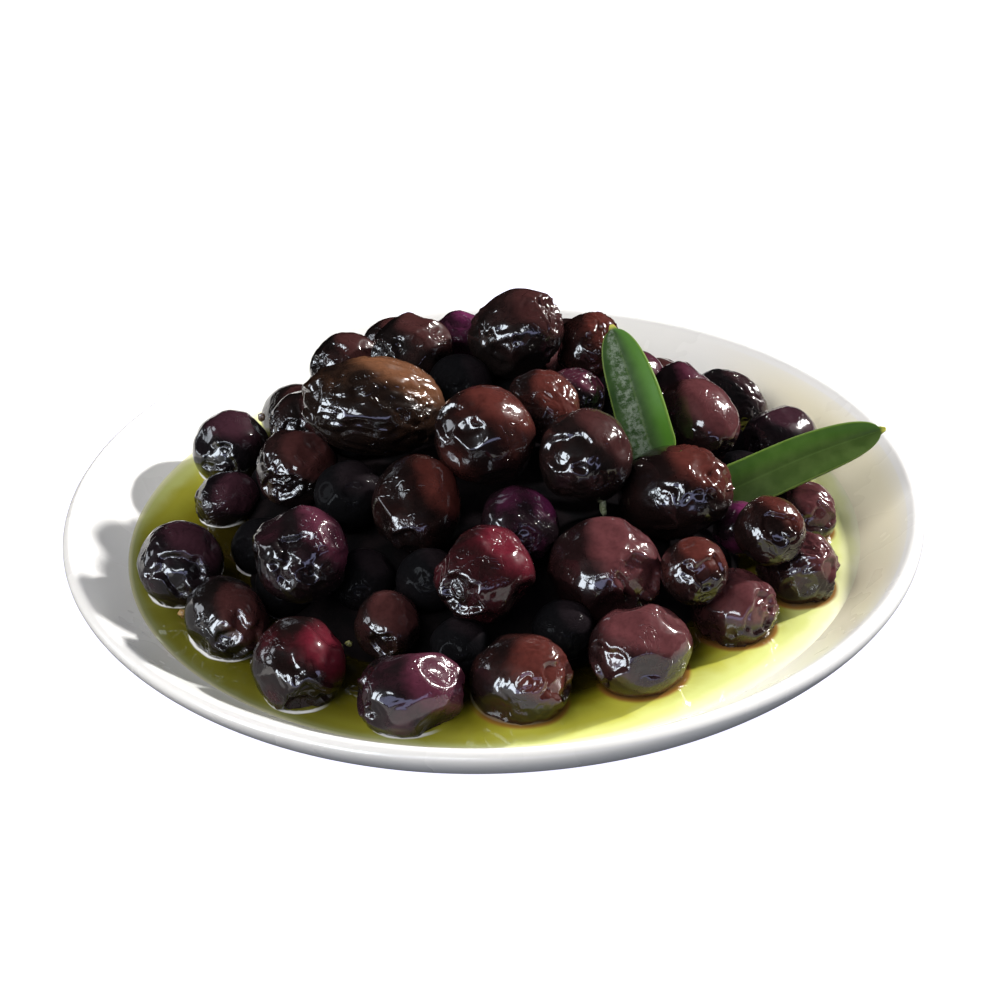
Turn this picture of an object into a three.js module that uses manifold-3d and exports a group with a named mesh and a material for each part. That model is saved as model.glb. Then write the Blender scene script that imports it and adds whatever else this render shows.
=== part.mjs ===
/*
 * A shallow white dish of black olives standing in olive oil, with two olive leaves.
 *
 * Millimetres, +Z up. The origin is the middle of the foot ring, on the table.
 * -Y is the front of the dish and +X its right.
 *
 * Five pieces: the dish, the oil in its well, the heap of olives, and two leaves.
 */
import * as THREE from 'three';
import { mergeVertices } from 'three/addons/utils/BufferGeometryUtils.js';
import Module from 'manifold-3d';

const wasm = await Module();
wasm.setup();

// ---------------------------------------------------------------- driving dimensions

const CLEARANCE = 0.3; // left between two pieces that touch

const DISH = {
  rimRadius: 90, // the outermost edge of the lip
  rimHeight: 19.6,
  wellFloor: 5, // top of the well's flat middle
  wallFoot: 71.3, // radius where the flared wall would meet the flat, unrounded
  wallSlope: 0.87,
  wallBend: 4.5, // how softly the flat turns up into the wall
  wellSteps: [60, 67, 71.5, 75.5, 80], // radii at which the well's curve is given a ring of corners
  lipInner: 86.2, // radius where the wall starts to roll over the lip
  footOuter: 54,
  footInner: 46,
  footRecess: 1.4, // height of the underside inside the foot ring
  footRound: 1, // how far the ring's edges are taken in where it stands
  footJoin: 1.8, // height at which the belly runs into the foot ring
  sides: 48,
};

// The outside of the dish, as points [in from rimRadius, down from rimHeight] that its curves
// start at, end at and bend towards.
const LIP_TOP = [0.8, 0.6];
const SHOULDER = [3.7, 7.2]; // where the lip's outer face meets the belly
const LIP_ROLL = { bends: [[2.8, 0.4], [1.8, -0.3]], pieces: 3 };
const LIP_FACE = { bends: [[-0.8, 1.7], [0.2, 4]], pieces: 4 };
const BELLY = { bends: [[9, 11.4], [24, 14.2]], pieces: 4 };

const OIL = { level: 11, wallSteps: [60, 67, 71.5] };

// The solid middle of the heap, hidden under the olives, and its low skirt under the oil. It
// stands a little more than the clearance above the well, so no film of oil is left under it.
const CORE = {
  top: 34,
  reach: 56,
  mound: 2, // power of the fall from the top to the reach: 2 is a parabola
  steps: 6,
  skirtRadius: 69,
  skirtFoot: 61,
  skirtHeight: 9.6,
  underside: 0.4,
  sides: 20,
};

// An olive of so few sides is drawn a little fuller, which keeps its true bulk.
const OLIVE = {
  large: { sides: 10, bands: 6 },
  small: { sides: 8, bands: 5 }, // narrower than smallWidth
  smallWidth: 7.5,
  fullness: 1.04,
  dimpleDepth: 0.14,
  tipStretch: 1.05,
};

const LEAF = {
  thickness: 0.7,
  cup: 0.9, // how far the edges rise above the midrib
  ripples: 1.25, // waves along the blade
  endWidth: 0.06, // share of the half width that is left at base and tip
  skew: 0.85, // below 1 the widest part lies nearer the base
  roundness: 0.7, // below 1 the blade is fuller towards its ends
  stations: 10,
  strips: 4,
};

// Every olive that shows: its middle x, y, z, half its length, half its width, then the heading
// and the tilt of its stem end in degrees (heading 0 is +X, 90 is +Y; tilt 90 points up).
const OLIVES = [
  // standing in the oil, from the front round by the right
  [-16.4, -66, 16.5, 11.2, 8.5, -155, 10],
  [4.4, -62, 16, 11, 9, -40, 25],
  [27.6, -55, 17, 11.2, 9.2, -140, 15],
  [47.2, -38.8, 14.8, 8.8, 8.2, -50, 25],
  [61.5, -25.8, 15.8, 8.6, 8.1, -50, 25],
  [65, -4, 15.5, 7.5, 7, -60, 20],
  [63.4, 24.6, 16.6, 9.6, 7.9, -130, 10],
  [54, 44, 15.8, 9.5, 7, -35, -15],
  [39, 51, 15, 9, 8, 100, 10],
  [23, 59, 16, 10.5, 9, 150, 0],
  [5, 62, 16, 9.5, 9, 60, 0],
  [-13, 61, 16, 10, 9, 170, 5],
  [-30, 54, 15.5, 9, 8.5, 20, 0],
  [-43, 43, 15, 9.5, 8.5, 130, 0],
  [-57.5, 30, 16, 9.5, 8.5, -100, 15],
  [-57, 10, 15, 7.5, 6, -145, 0],
  [-64, -19, 17, 9, 9, -80, 30],
  [-53.6, -37, 15.5, 11, 8, -65, 5],
  [-38, -56, 17, 10, 9, -80, -5],
  // close behind them, low in the heap
  [-42, -27, 16, 7, 6.5, -90, 30],
  [-48, -10, 15, 7, 6.5, -110, 30],
  [-21, -47, 19.5, 7.5, 6.5, -90, 0],
  [-7, -52, 17, 6, 6, -90, 0],
  [13, -50, 19, 6, 6, -60, -5],
  [50, -19, 21.5, 6, 5.5, -60, -5],
  [42, -26, 17, 6.5, 6, -90, 20],
  [53, 9, 15, 8, 7.5, 90, 0],
  [50, -6, 12, 6.5, 6, 30, 0],
  [43, -3, 17.5, 7, 6.5, 60, 20],
  [50, 26, 14, 7, 6.5, 0, 0],
  [43, 38, 14, 6.5, 6, 45, 0],
  [-46, 16, 14, 7.5, 6.5, 90, 0],
  // second course
  [-38, -35, 29, 10, 9.5, -85, 25],
  [-26, -32, 20, 6.5, 6.5, -90, 30],
  [-13, -37, 23, 6.5, 6.5, -90, 30],
  [-2, -45, 29, 10, 9.5, -120, -5],
  [21.8, -37, 23.5, 11.5, 11, -40, 10],
  [39, -41, 25.8, 7.3, 6.7, -75, 30],
  [55, -29, 27, 7.4, 7, -75, 30],
  [44, 13, 29, 10, 8.5, -55, -15],
  [41.5, 29, 26.2, 8, 7.4, -90, 30],
  [32, 41, 23.5, 8, 7.4, 120, 0],
  [17, 47, 27, 10, 8.5, 40, 0],
  [1, 49, 26.5, 9, 8, 100, 20],
  [-16, 48, 25, 9.5, 8.5, 0, 0],
  [-32, 41, 25, 9, 8, 60, 10],
  [-40, 23, 25.5, 8, 7.5, -115, 10],
  [-41, 3, 26, 9, 8.5, -115, 10],
  [-29, -12, 28, 8, 7.5, -90, 30],
  // third course
  [-15, -23, 32, 11, 9, -95, -20],
  [5, -29, 30, 9, 8, -90, 10],
  [37, -18, 30, 12.5, 9.5, -30, 20],
  [27, 14, 32, 8, 7.5, 0, 0],
  [-29, 12, 31, 7.5, 7, 120, 0],
  [8, 36, 35.5, 9, 8, 90, 30],
  [-20, 37, 34.8, 8.5, 8, 10, 20],
  [-30, 26, 37, 9, 8, -135, 45],
  [19, -17, 38.5, 11, 9.5, -115, 30],
  // the crown
  [1, 3, 36, 6, 5.5, 20, 0],
  [6, 18, 34, 7, 6.5, 0, 0],
  [-1, -15, 43, 11, 10, -135, 45],
  [11, -2, 42, 8.5, 7.5, -55, -5],
  [18, 8, 38.5, 6.5, 6, -55, 0],
  [-6, 11, 40, 8, 7, -90, 30],
  [22, 23, 42, 8, 7.4, -75, 30],
  [-6, 32, 40.5, 6.5, 6, -90, 60],
  [-16, 21, 43, 9.5, 8.5, -130, 10],
  [-24, -1, 43, 15, 10.5, -170, 15],
  [6, 19, 48, 11, 9, -20, 40],
];

// Each leaf: four points its midrib runs through from hidden base to tip, half its width,
// the direction its upper face looks, and how far it waves across.
const LEAVES = {
  leaf_upright: {
    midrib: [[35, -6, 27.5], [33, -2.5, 32], [30, 6, 41], [26, 16, 51]],
    halfWidth: 5.2,
    faces: [-0.15, -0.87, 0.47],
    wave: 0.5,
  },
  leaf_right: {
    midrib: [[46, -7, 22.5], [51, -6, 23.6], [66, -2, 28.2], [82.7, 3, 31.3]],
    halfWidth: 4.8,
    faces: [0.1, -0.78, 0.62],
    wave: 0.6,
  },
};

// ---------------------------------------------------------------- materials

const glaze = new THREE.MeshStandardMaterial({ name: 'white_glaze', color: 0xf1f1ef, roughness: 0.18 });
const oilGold = new THREE.MeshStandardMaterial({ name: 'olive_oil', color: 0xb5b32a, roughness: 0.08 });
const oliveSkin = new THREE.MeshStandardMaterial({ name: 'olive_skin', color: 0x2e1518, roughness: 0.25 });
const leafGreen = new THREE.MeshStandardMaterial({ name: 'leaf_green', color: 0x3d6526, roughness: 0.45 });

// ---------------------------------------------------------------- helpers

// A closed three.js geometry as a solid that can be joined and cut.
function toSolid(geometry) {
  geometry.deleteAttribute('normal');
  geometry.deleteAttribute('uv');
  const merged = mergeVertices(geometry, 1e-4);
  const corners = merged.index.array;
  const triangles = [];
  for (let i = 0; i < corners.length; i += 3) {
    const [a, b, c] = corners.slice(i, i + 3);
    if (a !== b && b !== c && c !== a) triangles.push(a, b, c);
  }
  const mesh = new wasm.Mesh({
    numProp: 3,
    vertProperties: new Float32Array(merged.attributes.position.array),
    triVerts: new Uint32Array(triangles),
  });
  return new wasm.Manifold(mesh);
}

function toGeometry(solid) {
  const { vertProperties, triVerts, numProp } = solid.getMesh();
  const geometry = new THREE.BufferGeometry();
  geometry.setAttribute('position', new THREE.BufferAttribute(vertProperties, numProp));
  geometry.setIndex(new THREE.BufferAttribute(triVerts, 1));
  geometry.computeVertexNormals();
  return geometry;
}

// The largest body of a solid: sealed hollows are filled and loose scraps dropped.
function largestBody(solid) {
  const bodies = solid.decompose();
  return bodies.reduce((best, body) => (body.volume() > best.volume() ? body : best));
}

// A profile of [radius, height] pairs that starts and ends on the axis, turned about Z.
function turn(profile, sides) {
  const points = profile.map(([radius, height]) => new THREE.Vector2(radius, height));
  return new THREE.LatheGeometry(points, sides).rotateX(Math.PI / 2);
}

// ---------------------------------------------------------------- dish

// Height of the well's surface at a radius: flat in the middle, bending up into a straight flare.
function wellHeight(radius) {
  const { wellFloor, wallFoot, wallSlope, wallBend } = DISH;
  return wellFloor + wallSlope * wallBend * Math.log(1 + Math.exp((radius - wallFoot) / wallBend));
}

// Radius at which the well's surface reaches a height, the other way round.
function wellRadius(height) {
  const { wellFloor, wallFoot, wallSlope, wallBend } = DISH;
  return wallFoot + wallBend * Math.log(Math.exp((height - wellFloor) / (wallSlope * wallBend)) - 1);
}

function wellProfile(radii, lift = 0) {
  return radii.map((radius) => [radius, wellHeight(radius) + lift]);
}

function fromRim([inward, down]) {
  return [DISH.rimRadius - inward, DISH.rimHeight - down];
}

// Points along a cubic curve from start to end, without the start itself.
function curve(start, { bends, pieces }, end) {
  const corners = [start, ...bends.map(fromRim), end].map(([x, y]) => new THREE.Vector2(x, y));
  const points = new THREE.CubicBezierCurve(...corners).getPoints(pieces);
  return points.slice(1).map((point) => [point.x, point.y]);
}

function dishGeometry() {
  const { wellFloor, wellSteps, lipInner, footOuter, footInner, footRecess, footRound } = DISH;
  const lipStart = [lipInner, wellHeight(lipInner)];
  const lipTop = fromRim(LIP_TOP);
  const shoulder = fromRim(SHOULDER);
  const outside = [
    ...curve(lipStart, LIP_ROLL, lipTop),
    ...curve(lipTop, LIP_FACE, shoulder),
    ...curve(shoulder, BELLY, [footOuter, DISH.footJoin]),
  ];
  const foot = [
    [footOuter - footRound, 0],
    [footInner + footRound, 0],
    [footInner, footRecess],
    [0, footRecess],
  ];
  const profile = [[0, wellFloor], ...wellProfile(wellSteps), lipStart, ...outside, ...foot];
  return turn(profile.reverse(), DISH.sides);
}

// ---------------------------------------------------------------- olives

// One olive of few sides, its stem end hollowed and its other end slightly drawn out.
function oliveSolid([x, y, z, halfLength, halfWidth, heading, tilt], growth = 0) {
  const { fullness, dimpleDepth, tipStretch, smallWidth } = OLIVE;
  const { sides, bands } = halfWidth < smallWidth ? OLIVE.small : OLIVE.large;
  const length = halfLength * fullness + growth;
  const width = halfWidth * fullness + growth;
  const profile = [];
  for (let band = 0; band <= bands; band += 1) {
    const angle = (Math.PI * band) / bands; // 0 at the drawn-out tip, half a turn at the stem
    const stretch = band < bands / 2 ? tipStretch : 1;
    profile.push(new THREE.Vector2(width * Math.sin(angle), -length * stretch * Math.cos(angle)));
  }
  profile[0].x = 0;
  profile[bands].set(0, length * (1 - dimpleDepth));
  const across = THREE.MathUtils.degToRad(heading);
  const up = THREE.MathUtils.degToRad(tilt);
  const stem = new THREE.Vector3(
    Math.cos(across) * Math.cos(up),
    Math.sin(across) * Math.cos(up),
    Math.sin(up),
  );
  const turned = new THREE.Quaternion().setFromUnitVectors(new THREE.Vector3(0, 1, 0), stem);
  const geometry = new THREE.LatheGeometry(profile, sides).applyQuaternion(turned).translate(x, y, z);
  return toSolid(geometry);
}

// The heap's hidden middle: a rounded mound on a low skirt that the outer olives stand in.
function coreSolid(growth = 0) {
  const { top, reach, mound, steps, skirtRadius, skirtFoot, skirtHeight, underside, sides } = CORE;
  const lift = underside - growth;
  const surface = [];
  for (let step = 0; step <= steps; step += 1) {
    const out = step / steps;
    const height = skirtHeight + (top - skirtHeight) * (1 - out ** mound) + growth;
    surface.push([(reach + growth) * out, height]);
  }
  const profile = [
    ...surface,
    [skirtRadius + growth, skirtHeight + growth],
    ...wellProfile([skirtRadius + growth, skirtFoot + growth], lift),
    [0, DISH.wellFloor + lift],
  ];
  return toSolid(turn(profile.reverse(), sides));
}

function heapSolid(growth = 0) {
  const pieces = OLIVES.map((olive) => oliveSolid(olive, growth));
  return wasm.Manifold.union([coreSolid(growth), ...pieces]);
}

// ---------------------------------------------------------------- oil

// The oil fills the well up to its level and stands round the olives.
function oilSolid() {
  const { level, wallSteps } = OIL;
  const edge = wellRadius(level - CLEARANCE);
  const profile = [
    [0, DISH.wellFloor + CLEARANCE],
    ...wellProfile([...wallSteps, edge], CLEARANCE),
    [0, level],
  ];
  const pool = toSolid(turn(profile, DISH.sides));
  return largestBody(pool.subtract(heapSolid(CLEARANCE)));
}

// ---------------------------------------------------------------- leaves

// A thin blade along its midrib: widest below the middle, cupped and lightly waved, both faces
// split into the same triangles.
function leafGeometry({ midrib, halfWidth, faces, wave }) {
  const { thickness, cup, ripples, stations, strips } = LEAF;
  const line = new THREE.CatmullRomCurve3(midrib.map((point) => new THREE.Vector3(...point)));
  const upper = [];
  const lower = [];
  for (let station = 0; station <= stations; station += 1) {
    const along = station / stations;
    const middle = line.getPointAt(along);
    const forward = line.getTangentAt(along);
    const side = new THREE.Vector3(...faces).cross(forward).normalize();
    const normal = new THREE.Vector3().crossVectors(forward, side);
    const width = halfWidth * leafWidth(along);
    for (let strip = 0; strip <= strips; strip += 1) {
      const across = (2 * strip) / strips - 1;
      const rise = cup * across * across + wave * across * Math.sin(2 * Math.PI * ripples * along);
      const point = middle.clone().addScaledVector(side, width * across).addScaledVector(normal, rise);
      upper.push(point.clone().addScaledVector(normal, thickness / 2));
      lower.push(point.clone().addScaledVector(normal, -thickness / 2));
    }
  }
  return bladeBetween(upper, lower);
}

// The blade's width at a share of its length, as a share of the widest.
function leafWidth(along) {
  const { endWidth, skew, roundness } = LEAF;
  return endWidth + (1 - endWidth) * Math.sin(Math.PI * along ** skew) ** roundness;
}

// Closes two like sheets of points, upper and lower, into one blade.
function bladeBetween(upper, lower) {
  const { stations, strips } = LEAF;
  const row = strips + 1;
  const below = upper.length;
  const triangles = [];
  const quad = (a, b, c, d) => triangles.push(a, b, c, a, c, d);
  for (let station = 0; station < stations; station += 1) {
    for (let strip = 0; strip < strips; strip += 1) {
      const a = station * row + strip;
      quad(a, a + row, a + row + 1, a + 1);
      quad(below + a, below + a + 1, below + a + row + 1, below + a + row);
    }
    const left = station * row;
    const right = left + strips;
    quad(left, below + left, below + left + row, left + row);
    quad(right, right + row, below + right + row, below + right);
  }
  for (let strip = 0; strip < strips; strip += 1) {
    const end = stations * row + strip;
    quad(strip, strip + 1, below + strip + 1, below + strip);
    quad(end, below + end, below + end + 1, end + 1);
  }
  const positions = [...upper, ...lower].flatMap((point) => point.toArray());
  const geometry = new THREE.BufferGeometry();
  geometry.setAttribute('position', new THREE.Float32BufferAttribute(positions, 3));
  geometry.setIndex(triangles);
  geometry.computeVertexNormals();
  return geometry;
}

// ---------------------------------------------------------------- scene graph

function piece(name, geometry, material) {
  const mesh = new THREE.Mesh(geometry, material);
  mesh.name = name;
  return mesh;
}

const dishOfOlives = new THREE.Group();
dishOfOlives.add(piece('dish', dishGeometry(), glaze));
dishOfOlives.add(piece('oil', toGeometry(oilSolid()), oilGold));
dishOfOlives.add(piece('olives', toGeometry(largestBody(heapSolid())), oliveSkin));
for (const [name, leaf] of Object.entries(LEAVES)) {
  dishOfOlives.add(piece(name, leafGeometry(leaf), leafGreen));
}

export default dishOfOlives;
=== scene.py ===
"""A shallow white dish of black olives standing in olive oil, with two olive leaves.

Sizes below are in millimetres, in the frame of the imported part: +Z up, -Y the front.
"""
import math
import random
from collections import namedtuple

import bmesh
import bpy
from mathutils import Matrix, Quaternion, Vector, noise


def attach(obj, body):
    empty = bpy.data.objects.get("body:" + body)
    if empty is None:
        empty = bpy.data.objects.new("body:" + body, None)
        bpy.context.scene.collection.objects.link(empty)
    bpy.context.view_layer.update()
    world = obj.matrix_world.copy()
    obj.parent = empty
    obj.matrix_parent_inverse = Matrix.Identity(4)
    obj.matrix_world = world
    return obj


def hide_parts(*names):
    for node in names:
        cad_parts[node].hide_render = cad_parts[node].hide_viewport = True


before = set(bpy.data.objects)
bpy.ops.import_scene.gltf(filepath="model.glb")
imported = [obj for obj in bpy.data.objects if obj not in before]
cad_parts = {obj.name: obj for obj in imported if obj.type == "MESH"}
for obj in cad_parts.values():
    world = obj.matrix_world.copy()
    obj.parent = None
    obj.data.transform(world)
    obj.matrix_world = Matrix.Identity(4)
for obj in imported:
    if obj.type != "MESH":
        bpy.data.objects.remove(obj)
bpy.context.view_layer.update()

MM = 0.001

# ------------------------------------------------------------------ sizes

# The dish: its well is flat and bends up into a straight flare.
RIM_RADIUS = 90.0
RIM_HEIGHT = 19.6
WELL_FLOOR = 5.0
WALL_FOOT = 71.3
WALL_SLOPE = 0.87
WALL_BEND = 4.5
LIP_INNER = 86.2
FOOT_OUTER = 54.0
FOOT_INNER = 46.0
FOOT_RECESS = 1.4
FOOT_JOIN = 1.8
DISH_STEPS = 256

# Points of its outer profile and the handles of the curves between them, from the lip round to
# the foot: how far in from the rim's widest line, and how far down from its top.
LIP_BENDS = ((2.8, 0.66), (1.8, -0.3))
LIP_TOP = (0.8, 0.6)
EDGE_BENDS = ((-0.8, 1.7), (0.2, 4))
SHOULDER = (3.7, 7.2)
BELLY_BENDS = ((9, 11.4), (24, 14.2))

# Painted warm light from the oil on the shaded right of the wall: the height and the distance to the right
# that its ramps span.
OIL_BOUNCE_HEIGHT = 20.0
OIL_BOUNCE_REACH = 100.0

# The oil climbs a little against each olive. Its tint follows its depth, which counts for more
# where it collects, and its rims are coloured within GAP_REACH of the olives: painted brown where
# sunlit skin shows under the oil, and a painted white gleam.
OIL_LEVEL = 11.0
OIL_CLEARANCE = 0.3
OIL_STEPS = 640
OIL_COVERED_RADIUS = 37
OIL_CLIMB = 0.8
OIL_TINT_DEPTH = 11.0
OIL_EXTRA_DEPTH = 3.4
GAP_REACH = 4.0
NEAR_OLIVE = 6
FAR_FROM_OLIVE = 9.0

# Headings over the oil: away from the sun, where painted shade darkens it, to where it collects, to
# the back, and to the sides of an olive where a painted brown rim and a painted white gleam show.
PAINTED_SHADE_HEADING = (-0.8, -0.4)
COLLECTS = (-0.7, -0.7)
BACKWARD = (0, 1)
AMBER_SIDE = (0.45, -0.89)
PAINTED_GLEAM_SIDE = (-0.8, -0.6)

# The middle of each olive, half its length and width, the heading and tilt of its stem end in
# degrees, the colour of its skin and how the skin has dried. The "deep" colour is painted shade for
# the olives in the heap's shaded gaps.
Olive = namedtuple("Olive", "x y z half_length half_width heading tilt colour dried")
OLIVES = [Olive(*row) for row in (
    # standing in the oil, from the front round by the right
    (-16.4, -66, 16.5, 11.2, 8.5, -155, 10, "plum", "dented"),
    (4.4, -62, 16, 11, 9, -40, 25, "brown", "ringed"),
    (27.6, -55, 17, 11.2, 9.2, -140, 15, "mauve", "taut"),
    (47.2, -38.8, 14.8, 8.8, 8.2, -50, 25, "mauve", "puckered"),
    (61.5, -25.8, 15.8, 8.6, 8.1, -50, 25, "mauve", "puckered"),
    (65, -4, 15.5, 7.5, 7, -60, 20, "mauve", "ringed"),
    (63.4, 24.6, 16.6, 9.6, 7.9, -130, 10, "sloe", "taut"),
    (54, 44, 15.8, 9.5, 7, -35, -15, "black", "lined"),
    (39, 51, 15, 9, 8, 100, 10, "umber", "plain"),
    (23, 59, 16, 10.5, 9, 150, 0, "violet", "plain"),
    (5, 62, 16, 9.5, 9, 60, 0, "black", "plain"),
    (-13, 61, 16, 10, 9, 170, 5, "mauve", "plain"),
    (-30, 54, 15.5, 9, 8.5, 20, 0, "brown", "plain"),
    (-43, 43, 15, 9.5, 8.5, 130, 0, "umber", "plain"),
    (-57.5, 30, 16, 9.5, 8.5, -100, 15, "sloe", "taut"),
    (-57, 10, 15, 7.5, 6, -145, 0, "sloe", "taut"),
    (-64, -19, 17, 9, 9, -80, 30, "sloe", "ringed"),
    (-53.6, -37, 15.5, 11, 8, -65, 5, "umber", "ringed"),
    (-38, -56, 17, 10, 9, -80, -5, "red", "dented"),
    # close behind them, low in the heap
    (-42, -27, 16, 7, 6.5, -90, 30, "deep", "plain"),
    (-48, -10, 15, 7, 6.5, -110, 30, "deep", "plain"),
    (-21, -47, 19.5, 7.5, 6.5, -90, 0, "umber", "taut"),
    (-7, -52, 17, 6, 6, -90, 0, "deep", "plain"),
    (13, -50, 19, 6, 6, -60, -5, "deep", "plain"),
    (50, -19, 21.5, 6, 5.5, -60, -5, "violet", "taut"),
    (42, -26, 17, 6.5, 6, -90, 20, "deep", "plain"),
    (53, 9, 15, 8, 7.5, 90, 0, "deep", "plain"),
    (50, -6, 12, 6.5, 6, 30, 0, "deep", "plain"),
    (43, -3, 17.5, 7, 6.5, 60, 20, "deep", "plain"),
    (50, 26, 14, 7, 6.5, 0, 0, "deep", "plain"),
    (43, 38, 14, 6.5, 6, 45, 0, "deep", "plain"),
    (-46, 16, 14, 7.5, 6.5, 90, 0, "deep", "plain"),
    # second course
    (-38, -35, 29, 10, 9.5, -85, 25, "plum", "dented"),
    (-26, -32, 20, 6.5, 6.5, -90, 30, "deep", "plain"),
    (-13, -37, 23, 6.5, 6.5, -90, 30, "deep", "plain"),
    (-2, -45, 29, 10, 9.5, -120, -5, "red", "dented"),
    (21.8, -37, 23.5, 11.5, 11, -40, 10, "mauve", "dented"),
    (39, -41, 25.8, 7.3, 6.7, -75, 30, "brown", "ringed"),
    (55, -29, 27, 7.4, 7, -75, 30, "brown", "ringed"),
    (44, 13, 29, 10, 8.5, -55, -15, "mauve", "taut"),
    (41.5, 29, 26.2, 8, 7.4, -90, 30, "plum", "taut"),
    (32, 41, 23.5, 8, 7.4, 120, 0, "plum", "plain"),
    (17, 47, 27, 10, 8.5, 40, 0, "umber", "plain"),
    (1, 49, 26.5, 9, 8, 100, 20, "brown", "plain"),
    (-16, 48, 25, 9.5, 8.5, 0, 0, "black", "plain"),
    (-32, 41, 25, 9, 8, 60, 10, "red", "plain"),
    (-40, 23, 25.5, 8, 7.5, -115, 10, "umber", "puckered"),
    (-41, 3, 26, 9, 8.5, -115, 10, "umber", "puckered"),
    (-29, -12, 28, 8, 7.5, -90, 30, "deep", "plain"),
    # third course
    (-15, -23, 32, 11, 9, -95, -20, "brown", "taut"),
    (5, -29, 30, 9, 8, -90, 10, "violet", "taut"),
    (37, -18, 30, 12.5, 9.5, -30, 20, "brown", "puckered"),
    (27, 14, 32, 8, 7.5, 0, 0, "deep", "plain"),
    (-29, 12, 31, 7.5, 7, 120, 0, "deep", "plain"),
    (8, 36, 35.5, 9, 8, 90, 30, "mauve", "plain"),
    (-20, 37, 34.8, 8.5, 8, 10, 20, "umber", "plain"),
    (-30, 26, 37, 9, 8, -135, 45, "umber", "taut"),
    (19, -17, 38.5, 11, 9.5, -115, 30, "umber", "ringed"),
    # the crown
    (1, 3, 36, 6, 5.5, 20, 0, "deep", "plain"),
    (6, 18, 34, 7, 6.5, 0, 0, "deep", "plain"),
    (-1, -15, 43, 11, 10, -135, 45, "brown", "taut"),
    (11, -2, 42, 8.5, 7.5, -55, -5, "brown", "lined"),
    (18, 8, 38.5, 6.5, 6, -55, 0, "plum", "puckered"),
    (-6, 11, 40, 8, 7, -90, 30, "deep", "plain"),
    (22, 23, 42, 8, 7.4, -75, 30, "brown", "puckered"),
    (-6, 32, 40.5, 6.5, 6, -90, 60, "violet", "taut"),
    (-16, 21, 43, 9.5, 8.5, -130, 10, "umber", "dented"),
    (-24, -1, 43, 15, 10.5, -170, 15, "tan", "lined"),
    (6, 19, 48, 11, 9, -20, 40, "umber", "puckered"),
)]

# How each skin departs from a plain olive. Flats are broad sunken faces, the crater is the hollow
# round the stem scar, rings are creases round it, folds are bunched wrinkles and lines run
# lengthwise. Depths are shares of the half width, and the crater's reach is an angle.
SKINS = {
    "plain": dict(lumps=0.05, flats=6, flat=0.06, crater=0.30, sunk=0.05, rings=0, folds=0.0, lines=0.0),
    "taut": dict(lumps=0.06, flats=8, flat=0.10, crater=0.40, sunk=0.10, rings=0, folds=0.015, lines=0.0),
    "dented": dict(lumps=0.07, flats=13, flat=0.13, crater=0.50, sunk=0.16, rings=1, folds=0.02, lines=0.0),
    "ringed": dict(lumps=0.05, flats=7, flat=0.07, crater=0.50, sunk=0.12, rings=4, folds=0.012, lines=0.0),
    "puckered": dict(lumps=0.07, flats=9, flat=0.09, crater=0.42, sunk=0.11, rings=1, folds=0.06, lines=0.0),
    "lined": dict(lumps=0.06, flats=8, flat=0.08, crater=0.36, sunk=0.09, rings=0, folds=0.02, lines=0.05),
}

# What all skins share, in the same measures.
FLAT_MARGIN = 0.02
FLAT_HOLLOW = 0.5
FLAT_ROUNDING = 0.012
CRATER_SLOPE = 0.15
CRATER_LIP_AWAY = 0.12
CRATER_LIP_WIDTH = 0.06
CRATER_LIP_HEIGHT = 0.022
RING_SPACING = 0.17
RING_WIDTH = 0.042
RING_REACH = 0.12
RING_DEPTH = 0.032
TIP_WIDTH = 0.2
TIP_HEIGHT = 0.03

# Segments round and along an olive, the seed of the first one's draws, the way its light side
# faces and how far that wanders. The light side is a ripe colour that is partly painted sunlight.
FINE_GRID = (112, 72)
PLAIN_GRID = (72, 46)
FIRST_SEED = 1000
SUNLIT_BLUSH_TOWARDS = (0.55, -0.1, 0.83)
SUNLIT_BLUSH_WANDER = 0.35

# Dark side and light side of each colour of skin, and how far the light side is held back. The light
# side is laid towards the sun, so it is partly painted sunlight and the dark side partly painted shade.
COLOURS = {
    # deep: painted shade, nearly black and dull, for olives sitting in the heap's shaded gaps
    "deep": ((0.005, 0.005, 0.006), (0.012, 0.009, 0.011), 1.4),
    "black": ((0.007, 0.006, 0.007), (0.032, 0.014, 0.017), 1.1),
    "sloe": ((0.007, 0.0055, 0.007), (0.040, 0.015, 0.023), 1.1),
    "umber": ((0.008, 0.006, 0.006), (0.052, 0.018, 0.018), 1.1),
    "plum": ((0.009, 0.006, 0.007), (0.080, 0.019, 0.036), 1.05),
    "brown": ((0.009, 0.005, 0.005), (0.088, 0.022, 0.018), 1.1),
    "mauve": ((0.013, 0.006, 0.0065), (0.106, 0.033, 0.037), 0.7),
    "red": ((0.009, 0.005, 0.005), (0.112, 0.011, 0.021), 1.45),
    "violet": ((0.009, 0.005, 0.007), (0.165, 0.024, 0.095), 1.75),
    "tan": ((0.012, 0.007, 0.0055), (0.160, 0.068, 0.034), 1.2),
}

# The core under the olives: a foot just above the well's floor, and a low dome on it.
CORE_FOOT = [(0, 5.6), (50, 5.7), (58, 6.4), (57, 8)]
DOME_BASE = 8
DOME_RADIUS = 54
DOME_HEIGHT = 17
CORE_STEPS = 96

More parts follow.
